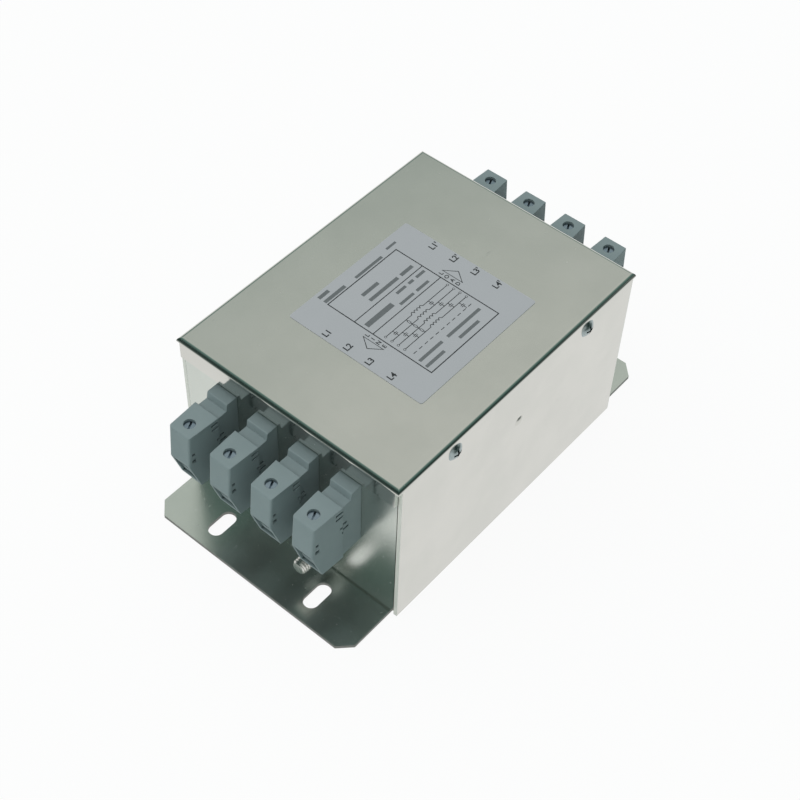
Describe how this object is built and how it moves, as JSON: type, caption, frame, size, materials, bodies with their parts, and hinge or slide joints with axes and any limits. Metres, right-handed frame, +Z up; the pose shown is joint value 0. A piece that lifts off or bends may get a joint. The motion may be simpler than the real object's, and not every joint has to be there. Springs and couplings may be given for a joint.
{
  "type": "power line filter",
  "caption": "Chassis-mount four-wire power line filter: folded steel case with slotted end flanges, screw clamp terminals and earth studs.",
  "frame": {"origin": "centre of the footprint, on the surface that the mounting plate stands on", "axes": "+X from the line end to the load end, +Z up, +Y towards the side of terminal 1"},
  "size_m": [0.1782, 0.104, 0.0756],
  "materials": {
    "tinned_sheet": "bright tin-plated sheet steel",
    "housing_plastic": "grey moulded polyamide",
    "zinc_steel": "bright zinc-plated steel",
    "stud_steel": "tinned steel",
    "copper": "copper, tinned at the clamp",
    "winding_copper": "enamelled copper wire",
    "ferrite_coat": "coated ferrite",
    "board": "glass-fibre board",
    "box_plastic": "capacitor box",
    "blue_disc": "capacitor coat",
    "resistor_body": "resistor coat",
    "black_plastic": "moulded support",
    "liner_paper": "pressboard",
    "label_film": "silver-grey polyester film"
  },
  "bodies": {
    "root": {"mounting_plate": "tinned_sheet", "inner_case": "tinned_sheet", "cover": "tinned_sheet", "label": "label_film", "cover_screws": "zinc_steel", "rivet_nuts": "zinc_steel", "earth_flat_washers": "zinc_steel", "earth_spring_washers": "zinc_steel", "earth_nuts": "zinc_steel", "board_screws": "zinc_steel", "board_pillars": "zinc_steel", "clamp_screws": "zinc_steel", "earth_stud_line": "stud_steel", "earth_stud_load": "stud_steel", "insulating_sheet": "liner_paper", "circuit_board": "board", "choke_core": "ferrite_coat", "choke_base": "black_plastic", "choke_separator": "black_plastic", "line_terminal_1": "housing_plastic", "line_clamp_cage_1": "zinc_steel", "line_current_bar_1": "copper", "line_terminal_2": "housing_plastic", "line_clamp_cage_2": "zinc_steel", "line_current_bar_2": "copper", "line_terminal_3": "housing_plastic", "line_clamp_cage_3": "zinc_steel", "line_current_bar_3": "copper", "line_terminal_4": "housing_plastic", "line_clamp_cage_4": "zinc_steel", "line_current_bar_4": "copper", "x_capacitor_line_1": "box_plastic", "x_capacitor_line_2": "box_plastic", "x_capacitor_line_3": "box_plastic", "load_terminal_1": "housing_plastic", "load_clamp_cage_1": "zinc_steel", "load_current_bar_1": "copper", "load_terminal_2": "housing_plastic", "load_clamp_cage_2": "zinc_steel", "load_current_bar_2": "copper", "load_terminal_3": "housing_plastic", "load_clamp_cage_3": "zinc_steel", "load_current_bar_3": "copper", "load_terminal_4": "housing_plastic", "load_clamp_cage_4": "zinc_steel", "load_current_bar_4": "copper", "x_capacitor_load_1": "box_plastic", "x_capacitor_load_2": "box_plastic", "x_capacitor_load_3": "box_plastic", "choke_winding_1": "winding_copper", "discharge_resistor_1": "resistor_body", "choke_winding_2": "winding_copper", "discharge_resistor_2": "resistor_body", "choke_winding_3": "winding_copper", "discharge_resistor_3": "resistor_body", "choke_winding_4": "winding_copper", "discharge_resistor_4": "resistor_body", "y_capacitor_1": "blue_disc", "y_capacitor_2": "blue_disc"}
  },
  "joints": []
}
